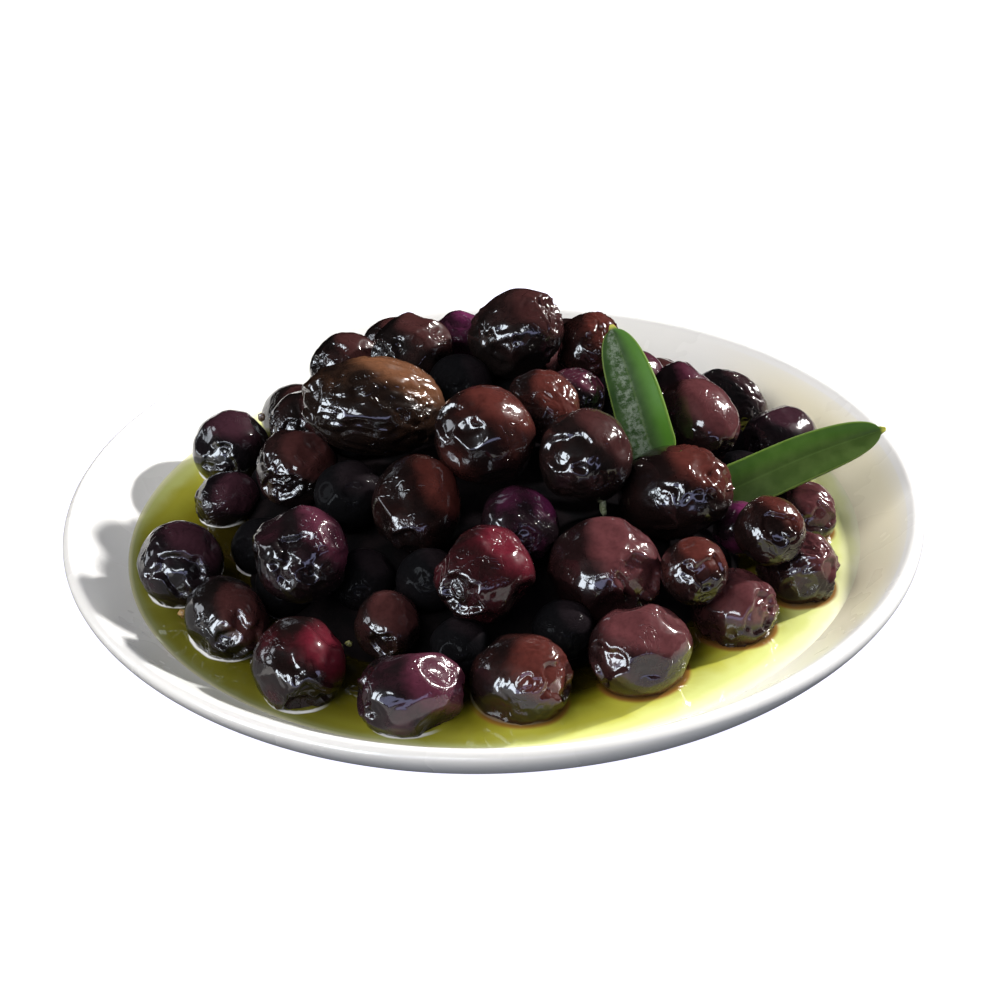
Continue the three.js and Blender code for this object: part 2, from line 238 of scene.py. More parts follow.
# Each leaf: its midrib, half its width, the way its upper face looks, the height of its ripples,
# which half is painted as sunlit and how bright, its greens and how much painted white sheen it has.
LEAVES = {
    "leaf_upright": dict(
        midrib=((35, -6, 27.5), (33, -2.5, 32), (30, 6, 41), (26, 16, 51)),
        half_width=5.4, faces=(-0.15, -0.87, 0.47), wave=0.5, sunny_side=-1, sunlit=0.7,
        dark=(0.024, 0.060, 0.016), light=(0.044, 0.094, 0.026), painted_sheen=0.7,
    ),
    "leaf_right": dict(
        midrib=((46, -7, 22.5), (51, -6, 23.6), (66, -2, 28.2), (82.7, 3, 31.3)),
        half_width=4.9, faces=(0.1, -0.78, 0.62), wave=0.6, sunny_side=1, sunlit=0.32,
        dark=(0.046, 0.084, 0.018), light=(0.070, 0.118, 0.028), painted_sheen=0.0,
    ),
}
LEAF_GRID = (72, 20)
LEAF_THICKNESS = 0.6
LEAF_CUP = 0.9
LEAF_RIPPLES = 1.25
GROOVE_DEPTH = 0.16
GROOVE_WIDTH = 0.5

# Scraps among the olives: middle, half sizes, and darker and lighter colour.
CRUMBS = [
    ("crumb_tan", (-63.2, -29.2, 11.9), (1.0, 0.8, 0.9), ((0.20, 0.11, 0.03), (0.42, 0.26, 0.10))),
    ("crumb_green", (-28.6, -50.2, 17.6), (0.7, 0.5, 0.6), ((0.10, 0.11, 0.03), (0.26, 0.26, 0.10))),
    ("sliver_pale", (22.3, -20.6, 28.6), (0.7, 0.5, 2.0), ((0.25, 0.30, 0.16), (0.50, 0.56, 0.38))),
    ("stalk_end", (-49.6, 24.2, 27.0), (0.8, 0.5, 1.0), ((0.05, 0.03, 0.02), (0.15, 0.08, 0.04))),
]

# ------------------------------------------------------------------ making pieces


def finish_piece(name, bm, material, replaced):
    """Turn a bmesh in millimetres into a piece of the part that rides with it."""
    bmesh.ops.scale(bm, vec=(MM, MM, MM), verts=bm.verts)
    mesh = bpy.data.meshes.new(name)
    bm.to_mesh(mesh)
    bm.free()
    piece = bpy.data.objects.new(name, mesh)
    bpy.context.scene.collection.objects.link(piece)
    mesh.materials.append(material)
    mesh.polygons.foreach_set("use_smooth", [True] * len(mesh.polygons))
    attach(piece, "root")
    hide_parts(replaced)
    return piece


def turned(profile, steps):
    """A closed solid turned about Z from a profile of (radius, height) that ends on the axis."""
    bm = bmesh.new()
    verts = [bm.verts.new((radius, 0, height)) for radius, height in profile]
    edges = [bm.edges.new(pair) for pair in zip(verts, verts[1:])]
    bmesh.ops.spin(
        bm, geom=verts + edges, cent=(0, 0, 0), axis=(0, 0, 1), angle=2 * math.pi,
        steps=steps, use_merge=True,
    )
    bmesh.ops.remove_doubles(bm, verts=bm.verts, dist=1e-4)
    bmesh.ops.recalc_face_normals(bm, faces=bm.faces)
    return bm


def cubic(start, bend_a, bend_b, end, pieces):
    """Points along a cubic curve, without its start."""
    points = []
    for step in range(1, pieces + 1):
        t = step / pieces
        s = 1 - t
        weights = (s ** 3, 3 * s * s * t, 3 * s * t * t, t ** 3)
        corners = (start, bend_a, bend_b, end)
        points.append(tuple(sum(w * c[i] for w, c in zip(weights, corners)) for i in range(2)))
    return points


def well_height(radius):
    """Height of the well's surface: flat in the middle, bending up into a straight flare."""
    rise = math.log(1 + math.exp((radius - WALL_FOOT) / WALL_BEND))
    return WELL_FLOOR + WALL_SLOPE * WALL_BEND * rise


def well_radius(height):
    """The radius at which the well's surface is this high."""
    rise = (height - WELL_FLOOR) / (WALL_SLOPE * WALL_BEND)
    return WALL_FOOT + WALL_BEND * math.log(math.exp(rise) - 1)


def steps_between(low, high, spacing):
    """Even steps from low to high, both included, about this far apart."""
    count = max(1, round(abs(high - low) / spacing))
    return [low + (high - low) * i / count for i in range(count + 1)]


def smooth_share(value):
    """The value held between 0 and 1, with its ends eased."""
    value = min(1.0, max(0.0, value))
    return value * value * (3 - 2 * value)


def bulge(away, width):
    """A rounded ridge that is 1 in its middle and about this wide to either side."""
    return math.exp(-(away / width) ** 2)


# ------------------------------------------------------------------ materials


class Shader:
    """A material's node tree with a Principled shader, and short calls to add to it."""

    def __init__(self, name):
        self.material = bpy.data.materials.new(name)
        self.material.use_nodes = True
        self.nodes = self.material.node_tree.nodes
        self.links = self.material.node_tree.links
        self.surface = self.nodes["Principled BSDF"]
        self.place = self.nodes.new("ShaderNodeTexCoord").outputs["Object"]

    def set(self, **values):
        """Give sockets of the shader one value all over, named with _ for each space."""
        for name, value in values.items():
            self.surface.inputs[name.replace("_", " ")].default_value = value

    def connect(self, value, socket):
        if isinstance(value, bpy.types.NodeSocket):
            self.links.new(value, socket)
        else:
            socket.default_value = value

    def feed(self, name, value):
        self.connect(value, self.surface.inputs[name])

    def noise(self, size, detail=3, roughness=0.5, distortion=0.0):
        """Soft random values, with features about this many millimetres across."""
        node = self.nodes.new("ShaderNodeTexNoise")
        node.inputs["Scale"].default_value = 1 / (size * MM)
        node.inputs["Detail"].default_value = detail
        node.inputs["Roughness"].default_value = roughness
        node.inputs["Distortion"].default_value = distortion
        self.links.new(self.place, node.inputs["Vector"])
        return node.outputs["Fac"]

    def attribute(self, name):
        node = self.nodes.new("ShaderNodeAttribute")
        node.attribute_name = name
        return node.outputs["Fac"]

    def ramp(self, value, *stops):
        """Colours or greys at places along 0 to 1, joined smoothly."""
        node = self.nodes.new("ShaderNodeValToRGB")
        node.color_ramp.interpolation = "EASE"
        elements = node.color_ramp.elements
        while len(elements) < len(stops):
            elements.new(0.5)
        for element, (place, colour) in zip(elements, stops):
            element.position = place
            if not hasattr(colour, "__len__"):
                colour = (colour, colour, colour)
            element.color = (*colour, 1)
        self.links.new(value, node.inputs["Fac"])
        return node.outputs["Color"]

    def math(self, operation, first, second=0.0, third=0.0):
        node = self.nodes.new("ShaderNodeMath")
        node.operation = operation
        for value, socket in zip((first, second, third), node.inputs):
            self.connect(value, socket)
        return node.outputs[0]

    def mix(self, share, first, second, blend="MIX"):
        node = self.nodes.new("ShaderNodeMix")
        node.data_type = "RGBA"
        node.blend_type = blend
        self.connect(share, node.inputs[0])
        for colour, socket in ((first, node.inputs[6]), (second, node.inputs[7])):
            self.connect((*colour, 1) if isinstance(colour, tuple) else colour, socket)
        return node.outputs[2]

    def bump(self, height, millimetres, strength=1.0):
        """Relief this deep; calls stack on one another."""
        node = self.nodes.new("ShaderNodeBump")
        node.inputs["Distance"].default_value = millimetres * MM
        node.inputs["Strength"].default_value = strength
        self.links.new(height, node.inputs["Height"])
        below = self.surface.inputs["Normal"]
        if below.is_linked:
            self.links.new(below.links[0].from_socket, node.inputs["Normal"])
        self.links.new(node.outputs["Normal"], below)

    def share_bump_with_coat(self):
        relief = self.surface.inputs["Normal"].links[0].from_socket
        self.links.new(relief, self.surface.inputs["Coat Normal"])


def glaze_material():
    """White porcelain glaze, faintly cloudy, with painted warm light from the oil on the shaded right of the
    wall above the oil.
    """
    glaze = Shader("white_glaze")
    cloud = glaze.noise(38, detail=2)
    white = glaze.ramp(cloud, (0.3, (0.86, 0.865, 0.87)), (0.7, (0.90, 0.90, 0.895)))
    split = glaze.nodes.new("ShaderNodeSeparateXYZ")
    glaze.links.new(glaze.place, split.inputs["Vector"])
    # Painted warm bounce light: a cream tint above the oil on the right, where the wall is in shade.
    above_oil = glaze.math("DIVIDE", split.outputs[2], OIL_BOUNCE_HEIGHT * MM)
    oil_bounce = glaze.ramp(above_oil, (0.40, 0.0), (0.54, 0.80), (0.76, 0.75), (1.0, 0.1))
    right = glaze.math("DIVIDE", split.outputs[0], OIL_BOUNCE_REACH * MM)
    right = glaze.ramp(right, (0.48, 0.0), (0.74, 1.0))
    oil_bounce = glaze.math("MULTIPLY", glaze.math("MULTIPLY", oil_bounce, right), glaze.attribute("inside"))
    glaze.feed("Base Color", glaze.mix(oil_bounce, white, (0.90, 0.83, 0.58)))
    glaze.feed("Roughness", glaze.ramp(glaze.noise(18), (0.35, 0.26), (0.7, 0.30)))
    glaze.set(Coat_Weight=0.25, Coat_Roughness=0.12, IOR=1.45)
    glaze.bump(glaze.noise(16, detail=1), 0.05, 0.10)
    return glaze.material


def bisque_material():
    """The bare ring the dish stands on: unglazed, a little warm and gritty."""
    bisque = Shader("bare_foot_ring")
    grit = bisque.noise(0.5, detail=4)
    bisque.feed("Base Color", bisque.ramp(grit, (0.3, (0.62, 0.58, 0.52)), (0.7, (0.74, 0.71, 0.66))))
    bisque.feed("Roughness", bisque.ramp(grit, (0.3, 0.75), (0.7, 0.9)))
    bisque.bump(grit, 0.05, 0.6)
    return bisque.material


def skin_material(name, dark, light, wet):
    """Olive skin: dark and light patches, the light ones partly painted sunlight, under a wet coat of oil,
    with creases and pores.
    """
    skin = Shader("olive_skin_" + name)
    cloud = skin.noise(6, detail=5, roughness=0.6, distortion=0.6)
    shade = skin.math("ADD", skin.attribute("shade"), skin.math("MULTIPLY_ADD", cloud, 0.8, -0.4))
    colour = skin.mix(skin.ramp(shade, (0.05, 0.0), (0.95, 1.0)), dark, light)
    freckles = skin.ramp(skin.noise(0.8, detail=3), (0.40, 1.0), (0.70, 0.82))
    skin.feed("Base Color", skin.mix(1.0, colour, freckles, "MULTIPLY"))
    skin.feed("Roughness", skin.ramp(skin.noise(2.5, detail=3), (0.3, 0.28), (0.75, 0.42)))
    skin.set(Specular_IOR_Level=0.05 * wet, Coat_Weight=wet, Coat_Roughness=0.09, Coat_IOR=1.52)
    skin.bump(skin.noise(4.5, detail=2, distortion=0.8), 0.14)
    creased = skin.ramp(skin.noise(8, detail=1), (0.50, 0.0), (0.60, 1.0))
    crease = skin.ramp(skin.noise(3.2, detail=1, distortion=1.6), (0.44, 0.0), (0.5, 1.0), (0.56, 0.0))
    skin.bump(skin.math("MULTIPLY", skin.math("MULTIPLY", creased, crease), -1.0), 0.05)
    skin.bump(skin.noise(0.5, detail=2), 0.006)
    skin.share_bump_with_coat()
    return skin.material


def core_material():
    """What shows deep between the olives: painted shade, nearly black like skins out of the light."""
    core = Shader("heap_core")
    patch = core.noise(6, detail=4)
    dark, light = (0.004, 0.004, 0.0045), (0.009, 0.007, 0.008)
    core.feed("Base Color", core.ramp(patch, (0.3, dark), (0.7, light)))
    core.feed("Roughness", core.ramp(patch, (0.3, 0.85), (0.7, 1.0)))
    core.set(Specular_IOR_Level=0.0)
    core.bump(patch, 0.8, 0.8)
    return core.material


def oil_material():
    """Olive oil over white glaze: clear at its thin edge, golden, then brown-green where deep, and darkened
    as painted shade away from the sun and under the heap.
    """
    oil = Shader("olive_oil")
    drift = oil.noise(10, detail=3, distortion=1.2)
    wavering = oil.math("MULTIPLY_ADD", drift, 0.16, -0.08)
    depth = oil.math("ADD", oil.attribute("depth"), wavering)
    colour = oil.ramp(
        depth, (0.0, (0.92, 0.91, 0.66)), (0.13, (0.85, 0.87, 0.48)), (0.30, (0.70, 0.75, 0.26)),
        (0.50, (0.52, 0.51, 0.06)), (0.72, (0.32, 0.29, 0.02)), (1.0, (0.11, 0.085, 0.008)),
    )
    wavering = oil.math("MULTIPLY_ADD", oil.noise(5, detail=2), 0.12, -0.06)
    gap = oil.math("ADD", oil.attribute("gap"), wavering)
    # Painted view of the sunlit olive skin under the oil: a brown rim on the olives' sunny front side.
    rim_seen = oil.math("MULTIPLY", oil.attribute("amber"), oil.ramp(gap, (0.24, 0.95), (0.48, 0.0)))
    skin_through_oil = oil.ramp(gap, (0.03, (0.06, 0.024, 0.010)), (0.34, (0.28, 0.115, 0.026)))
    colour = oil.mix(rim_seen, colour, skin_through_oil)
    # Painted highlight: a thin white line of light on the oil where it climbs each olive.
    line = oil.ramp(gap, (0.03, 0.0), (0.07, 1.0), (0.13, 1.0), (0.20, 0.0))
    # Painted shade: the colour is darkened where the shade measure is high.
    shaded = oil.math("SUBTRACT", 1.0, oil.math("MULTIPLY", oil.attribute("shade"), 0.80))
    colour = oil.mix(1.0, colour, shaded, "MULTIPLY")
    gleam = oil.math("MULTIPLY", oil.attribute("gleam"), line)
    oil.feed("Base Color", oil.mix(gleam, colour, (0.80, 0.82, 0.85)))
    oil.feed("Roughness", oil.ramp(drift, (0.3, 0.04), (0.7, 0.07)))
    oil.set(Coat_Weight=1.0, Coat_Roughness=0.01, Coat_IOR=1.47, Specular_IOR_Level=0.2)
    return oil.material


def leaf_material(name, dark, light, sunlit, painted_sheen):
    """Leathery green blade: a painted sunlit half, paler midrib and edges, and a broken painted white sheen.
    """
    leaf = Shader(name)
    uv = leaf.nodes.new("ShaderNodeUVMap")
    uv.uv_map = "blade"
    split = leaf.nodes.new("ShaderNodeSeparateXYZ")
    leaf.links.new(uv.outputs["UV"], split.inputs["Vector"])
    along, across = split.outputs[0], split.outputs[1]
    side = leaf.math("ABSOLUTE", leaf.math("SUBTRACT", across, 0.5))
    mottle = leaf.noise(3.5, detail=4)
    green = leaf.ramp(mottle, (0.3, dark), (0.7, light))
    sunny = leaf.ramp(across, (0.52, 0.0), (0.88, 1.0))
    green = leaf.mix(leaf.math("MULTIPLY", sunny, sunlit), green, (0.085, 0.25, 0.02))
    # Painted sheen: a broken whitish streak of reflected light along one half.
    streak = leaf.ramp(across, (0.08, 0.0), (0.24, 1.0), (0.40, 1.0), (0.58, 0.0))
    broken = leaf.ramp(leaf.noise(1.5, detail=7, roughness=0.8), (0.42, 0.0), (0.60, 1.0))
    broken = leaf.math("MULTIPLY", leaf.math("MULTIPLY", streak, broken), painted_sheen)
    green = leaf.mix(broken, green, (0.27, 0.33, 0.27))
    edge = leaf.ramp(side, (0.465, 0.0), (0.495, 1.0))
    green = leaf.mix(leaf.math("MULTIPLY", edge, 0.6), green, (0.20, 0.30, 0.06))
    rib = leaf.ramp(side, (0.004, 1.0), (0.03, 0.0))
    green = leaf.mix(leaf.math("MULTIPLY", rib, 0.18), green, (0.14, 0.24, 0.06))
    tip = leaf.ramp(along, (0.955, 0.0), (0.985, 1.0))
    green = leaf.mix(tip, green, (0.55, 0.55, 0.10))
    leaf.feed("Base Color", green)
    leaf.feed("Roughness", leaf.ramp(mottle, (0.3, 0.32), (0.75, 0.46)))
    leaf.set(Coat_Weight=0.06, Coat_Roughness=0.28, IOR=1.40, Specular_IOR_Level=0.10)
    leaf.bump(rib, 0.05, 0.5)
    leaf.bump(leaf.noise(1.4, detail=4), 0.08, 0.6)
    leaf.share_bump_with_coat()
    return leaf.material


# ------------------------------------------------------------------ dish


def from_rim(*points):
    """Radius and height of points given as distances inwards and down from the rim."""
    return [(RIM_RADIUS - inward, RIM_HEIGHT - down) for inward, down in points]


def dish_piece():
    """The dish, glazed all over but for the edge of its foot ring."""
    lip_start = (LIP_INNER, well_height(LIP_INNER))
    lip_top, shoulder = from_rim(LIP_TOP, SHOULDER)
    profile = [(0, WELL_FLOOR), (30, WELL_FLOOR)]
    profile += [(r, well_height(r)) for r in steps_between(50, LIP_INNER, 1.6)]
    profile += cubic(lip_start, *from_rim(*LIP_BENDS), lip_top, 8)
    profile += cubic(lip_top, *from_rim(*EDGE_BENDS), shoulder, 12)
    profile += cubic(shoulder, *from_rim(*BELLY_BENDS), (FOOT_OUTER, FOOT_JOIN), 18)
    profile += [
        (FOOT_OUTER - 0.25, 0.6), (FOOT_OUTER - 1, 0), (FOOT_INNER + 1, 0),
        (FOOT_INNER + 0.25, 0.5), (FOOT_INNER, FOOT_RECESS), (30, FOOT_RECESS), (0, FOOT_RECESS),
    ]
    bm = turned(profile, DISH_STEPS)
    inside_layer = bm.verts.layers.float.new("inside")
    for vert in bm.verts:
        radius = math.hypot(vert.co.x, vert.co.y)
        if radius < LIP_INNER + 0.01 and abs(vert.co.z - well_height(radius)) < 0.05:
            vert[inside_layer] = 1.0
    for face in bm.faces:
        face.material_index = 1 if face.calc_center_median().z < 0.1 else 0
    piece = finish_piece("dish_glazed", bm, glaze_material(), "dish")
    piece.data.materials.append(bisque_material())


# ------------------------------------------------------------------ olives


def olive_axes(heading, tilt, turn):
    """How an olive that stands on Z is turned: its stem end to the heading and tilt."""
    across, up = math.radians(heading), math.radians(tilt)
    stem = Vector((math.cos(across) * math.cos(up), math.sin(across) * math.cos(up), math.sin(up)))
    return stem.to_track_quat("Z", "Y") @ Quaternion((0, 0, 1), turn)


def skin_traits(skin, draw):
    """Where one olive's flats lie and how deep, its stem scar's place and its own noise."""
    flats = []
    for _ in range(skin["flats"]):
        direction = Vector((draw.gauss(0, 1), draw.gauss(0, 1), draw.gauss(0, 0.8))).normalized()
        flats.append((direction, 1 - skin["flat"] * draw.uniform(0.35, 1)))
    scar = Vector((draw.uniform(-0.14, 0.14), draw.uniform(-0.14, 0.14), 1)).normalized()
    seed = Vector((draw.uniform(-50, 50), draw.uniform(-50, 50), draw.uniform(-50, 50)))
    return flats, scar, seed


def lower_of(first, second, softness):
    """The lower of two values, rounded where they meet."""
    blend = max(softness - abs(first - second), 0.0) / softness
    return min(first, second) - blend * blend * softness / 4


def ripple(u, waves, seed):
    """Smooth random relief from about -1 to 1, with this many waves to the ball's radius."""
    return noise.noise(u * waves + seed)


def skin_relief(u, skin, traits):
    """How far the skin stands out at a point of the unit ball, as a share of the half width."""
    flats, scar, seed = traits
    relief = 0.0
    for direction, level in flats:
        along = u.dot(direction)
        if along > level - FLAT_MARGIN:
            hollow = FLAT_HOLLOW * (1 - level) * smooth_share((along - level) / (1 - level))
            relief = lower_of(relief, level / along - 1 - hollow, FLAT_ROUNDING)
    relief += skin["lumps"] * (ripple(u, 1.4, seed) + 0.35 * ripple(u, 3.3, seed))

    warp = ripple(u, 2.2, -seed)
    away = math.acos(max(-1.0, min(1.0, u.dot(scar)))) + 0.42 * warp + 0.09 * ripple(u, 4.5, seed)
    edge = skin["crater"]
    relief -= skin["sunk"] * smooth_share((edge + 0.06 - away) / CRATER_SLOPE)
    raised = CRATER_LIP_HEIGHT * smooth_share(0.35 + 2.4 * warp)
    relief += raised * bulge(away - edge - CRATER_LIP_AWAY, CRATER_LIP_WIDTH)
    for ring in range(skin["rings"]):
        offset = away - edge - RING_SPACING * (ring + 1)
        if abs(offset) < RING_REACH:
            broken = smooth_share(1.8 * ripple(u, 1.6, seed * (ring + 2)) + 0.55)
            relief -= RING_DEPTH * broken * bulge(offset, RING_WIDTH)
    relief += TIP_HEIGHT * bulge(math.pi - away, TIP_WIDTH)

    if skin["folds"]:
        bunched = smooth_share(2.2 * ripple(u, 1.1, seed * 3) + 0.25)
        if bunched > 0:
            ridge = 1 - 3.4 * abs(noise.noise(u * 3.6 + seed + Vector((0, 0, 0.8 * warp))))
            relief += skin["folds"] * bunched * (smooth_share(ridge) - 0.4)
    if skin["lines"]:
        crease = 1 - 4 * abs(noise.noise(Vector((u.x * 4.4, u.y * 4.4, u.z * 1.2)) + seed))
        relief -= skin["lines"] * smooth_share(crease) * smooth_share(1.3 * (1 - u.z * u.z))
    return relief


def ball_grid(columns, rows):
    """A plain unit ball to copy each olive from."""
    bm = bmesh.new()
    bmesh.ops.create_uvsphere(bm, u_segments=columns, v_segments=rows, radius=1.0)
    mesh = bpy.data.meshes.new("ball_grid")
    bm.to_mesh(mesh)
    bm.free()
    return mesh


def add_olive(bm, shade_layer, olive, number, balls, reach):
    """One olive with its own dents, wrinkles and ripe colour, laid partly as painted sunlight on its side
    towards the sun, added to the olives of its colour.
    """
    skin = SKINS[olive.dried]
    length, width = olive.half_length, olive.half_width
    draw = random.Random(FIRST_SEED + number)
    traits = skin_traits(skin, draw)
    seed = traits[2]
    base_shade = draw.uniform(0.05, 0.25)
    wander = Vector([draw.uniform(-SUNLIT_BLUSH_WANDER, SUNLIT_BLUSH_WANDER) for _ in range(3)])
    sunlit_blush = (Vector(SUNLIT_BLUSH_TOWARDS) + wander).normalized()
    axes = olive_axes(olive.heading, olive.tilt, draw.uniform(0, 2 * math.pi))
    first = len(bm.verts)
    bm.from_mesh(balls["plain" if olive.dried == "plain" else "fine"])
    bm.verts.ensure_lookup_table()
    centre = Vector((olive.x, olive.y, olive.z))
    for vert in bm.verts[first:]:
        u = vert.co.copy()
        out = Vector((u.x / width, u.y / width, u.z / length)).normalized()
        plain = Vector((u.x * width, u.y * width, u.z * length))
        relief = skin_relief(u, skin, traits)
        vert.co = axes @ (plain + out * relief * width) + centre
        # The light colour gathers on the side towards the sun: partly the fruit's own colour, partly painted
        # sunlight.
        facing_sun = (axes @ u).dot(sunlit_blush)
        mottle = 0.30 * noise.noise(u * 1.3 - seed)
        vert[shade_layer] = base_shade + 0.9 * smooth_share(2.4 * facing_sun - reach) + mottle


def olive_pieces():
    """All olives of one colour as one piece, with closed skins that meet but aren't joined."""
    balls = {"fine": ball_grid(*FINE_GRID), "plain": ball_grid(*PLAIN_GRID)}
    for kind, (dark, light, reach) in COLOURS.items():
        bm = bmesh.new()
        shade_layer = bm.verts.layers.float.new("shade")
        for number, olive in enumerate(OLIVES):
            if olive.colour == kind:
                add_olive(bm, shade_layer, olive, number, balls, reach)
        bmesh.ops.recalc_face_normals(bm, faces=bm.faces)
        skin = skin_material(kind, dark, light, wet=0.03 if kind == "deep" else 1.0)
        finish_piece("olives_" + kind, bm, skin, "olives")


def core_piece():
    """The middle that closes the gaps between the olives, dark with painted shade."""
    dome = [
        (DOME_RADIUS * math.cos(angle), DOME_BASE + DOME_HEIGHT * math.sin(angle))
        for angle in steps_between(0.1, math.pi / 2, 0.12)
    ]
    bm = turned(CORE_FOOT + dome, CORE_STEPS)
    for vert in bm.verts:
        if vert.co.z > DOME_BASE:
            vert.co += vert.co.normalized() * 1.5 * noise.noise(vert.co / 7)
    finish_piece("heap_core", bm, core_material(), "olives")


def crumb_pieces():
    """Scraps that came with the olives: two crumbs, a pale sliver and the end of a stalk."""
    for name, place, size, colours in CRUMBS:
        bm = bmesh.new()
        bmesh.ops.create_icosphere(bm, subdivisions=3, radius=1.0)
        for vert in bm.verts:
            relief = 1 + 0.35 * noise.noise(vert.co * 1.7 + Vector(place))
            vert.co = Vector([c * s * relief + p for c, s, p in zip(vert.co, size, place)])
        crumb = Shader(name)
        speckle = crumb.noise(0.5, detail=3)
        crumb.feed("Base Color", crumb.ramp(speckle, (0.35, colours[0]), (0.65, colours[1])))
        crumb.feed("Roughness", crumb.ramp(speckle, (0.3, 0.3), (0.7, 0.55)))
        crumb.set(Coat_Weight=0.8, Coat_Roughness=0.15)
        crumb.bump(speckle, 0.1, 0.8)
        finish_piece(name, bm, crumb.material, "olives")


# ------------------------------------------------------------------ oil


def waterlines():
    """Olives near the oil: middle, matrix that makes each a unit ball, and half its length."""
    rows = []
    for olive in OLIVES:
        width, length = olive.half_width, olive.half_length
        if olive.z - length <= OIL_LEVEL + 3:
            axes = olive_axes(olive.heading, olive.tilt, 0).to_matrix()
            shrink = Matrix.Diagonal((1 / width, 1 / width, 1 / length))
            rows.append((Vector((olive.x, olive.y, olive.z)), shrink @ axes.transposed(), length))
    return rows


def distance_to_olive(point, row):
    """Roughly how far a point of the oil's surface is from an olive, along the surface."""
    centre, to_ball, reach = row
    offset = point - centre
    if max(abs(offset.x), abs(offset.y)) > reach + NEAR_OLIVE:
        return FAR_FROM_OLIVE
    ball = to_ball @ offset
    gradient = to_ball.transposed() @ ball / max(ball.length, 1e-6)
    flat = math.hypot(gradient.x, gradient.y)
    return (ball.length - 1) / max(flat, 0.02)


def share_along(point, heading, start, spread):
    """From 0 to 1 as a point goes along a heading, from the start on and over the spread."""
    return smooth_share((heading[0] * point.x + heading[1] * point.y - start) / spread)


def oil_piece():
    """The oil, with the measures its material reads laid on the points of its surface."""
    edge = well_radius(OIL_LEVEL + 0.03)
    bottom = [(0, WELL_FLOOR + OIL_CLEARANCE)]
    bottom += [(r, well_height(r) + OIL_CLEARANCE) for r in (40, 60, 64, 67, 69, 71, 73, 74.5)]
    top = [(edge, OIL_LEVEL), (edge - 0.04, OIL_LEVEL)]
    top += [(r, OIL_LEVEL) for r in reversed(steps_between(38, edge - 0.4, 0.6))]
    bm = turned(bottom + top + [(0, OIL_LEVEL)], OIL_STEPS)
    depth_layer = bm.verts.layers.float.new("depth")
    gap_layer = bm.verts.layers.float.new("gap")
    amber_layer = bm.verts.layers.float.new("amber")
    gleam_layer = bm.verts.layers.float.new("gleam")
    shade_layer = bm.verts.layers.float.new("shade")
    rows = waterlines()
    for vert in bm.verts:
        radius = math.hypot(vert.co.x, vert.co.y)
        if vert.co.z < OIL_LEVEL - 0.01 or radius < OIL_COVERED_RADIUS:
            continue
        # Painted shade: the oil under the heap is darkened in tint and in shade.
        under_heap = smooth_share((67 - radius) / 9)
        collected = share_along(vert.co, COLLECTS, 5, 55)
        deep = max(0.0, OIL_LEVEL - well_height(radius))
        deep += OIL_EXTRA_DEPTH * collected * smooth_share(deep / 1.3)
        vert[depth_layer] = deep / OIL_TINT_DEPTH + 0.4 * under_heap
        # Painted shade away from the sun, less towards the back and lighter where the oil is thin.
        in_shade = share_along(vert.co, PAINTED_SHADE_HEADING, 12, 50)
        in_shade *= 1 - 0.35 * share_along(vert.co, BACKWARD, -5, 30)
        darkened = 0.68 + 0.28 * smooth_share((deep + 0.2) / 2.2)
        vert[shade_layer] = max(in_shade * darkened, under_heap)

        near, index = min((distance_to_olive(vert.co, row), index) for index, row in enumerate(rows))
        olive = rows[index][0]
        gap = max(near, 0.0)
        vert[gap_layer] = gap / GAP_REACH
        beside = Vector((vert.co.x - olive.x, vert.co.y - olive.y)).normalized()
        # Brown rims only by olives in the sun, white gleams only by those in shade.
        in_sun = smooth_share((olive.x + 14) / 22)
        brown_side = smooth_share(0.75 + 1.3 * beside.dot(Vector(AMBER_SIDE)))
        # Painted highlight on the waterline's side that faces away from the sun.
        white_side = smooth_share(0.35 + 1.4 * beside.dot(Vector(PAINTED_GLEAM_SIDE)))
        vert[amber_layer] = in_sun * brown_side
        vert[gleam_layer] = (1 - in_sun) * white_side
        vert.co.z += OIL_CLIMB * math.exp(-gap / OIL_CLIMB)
    finish_piece("oil_surface", bm, oil_material(), "oil")


# ------------------------------------------------------------------ leaves


def spline(points, share):
    """A smooth line through the points, at a share of its steps from the first to the last."""
    last = len(points) - 1
    place = share * last
    index = min(int(place), last - 1)
    t = place - index
    a, b, c, d = [Vector(points[max(0, min(last, index + k))]) for k in (-1, 0, 1, 2)]
    squared = 2 * a - 5 * b + 4 * c - d
    cubed = 3 * b - a - 3 * c + d
    return 0.5 * (2 * b + (c - a) * t + squared * t * t + cubed * t ** 3)


def leaf_width(along):
    """Share of the half width from base to tip: full until near the tip, then down to a thorn."""
    base = 0.35 + 0.65 * smooth_share(along / 0.35)
    blunt = max(0.0, 1 - (along / 0.965) ** 7) ** 0.65
    thorn = 0.14 * min(1.0, (1.02 - along) / 0.06)
    return base * max(blunt, thorn)


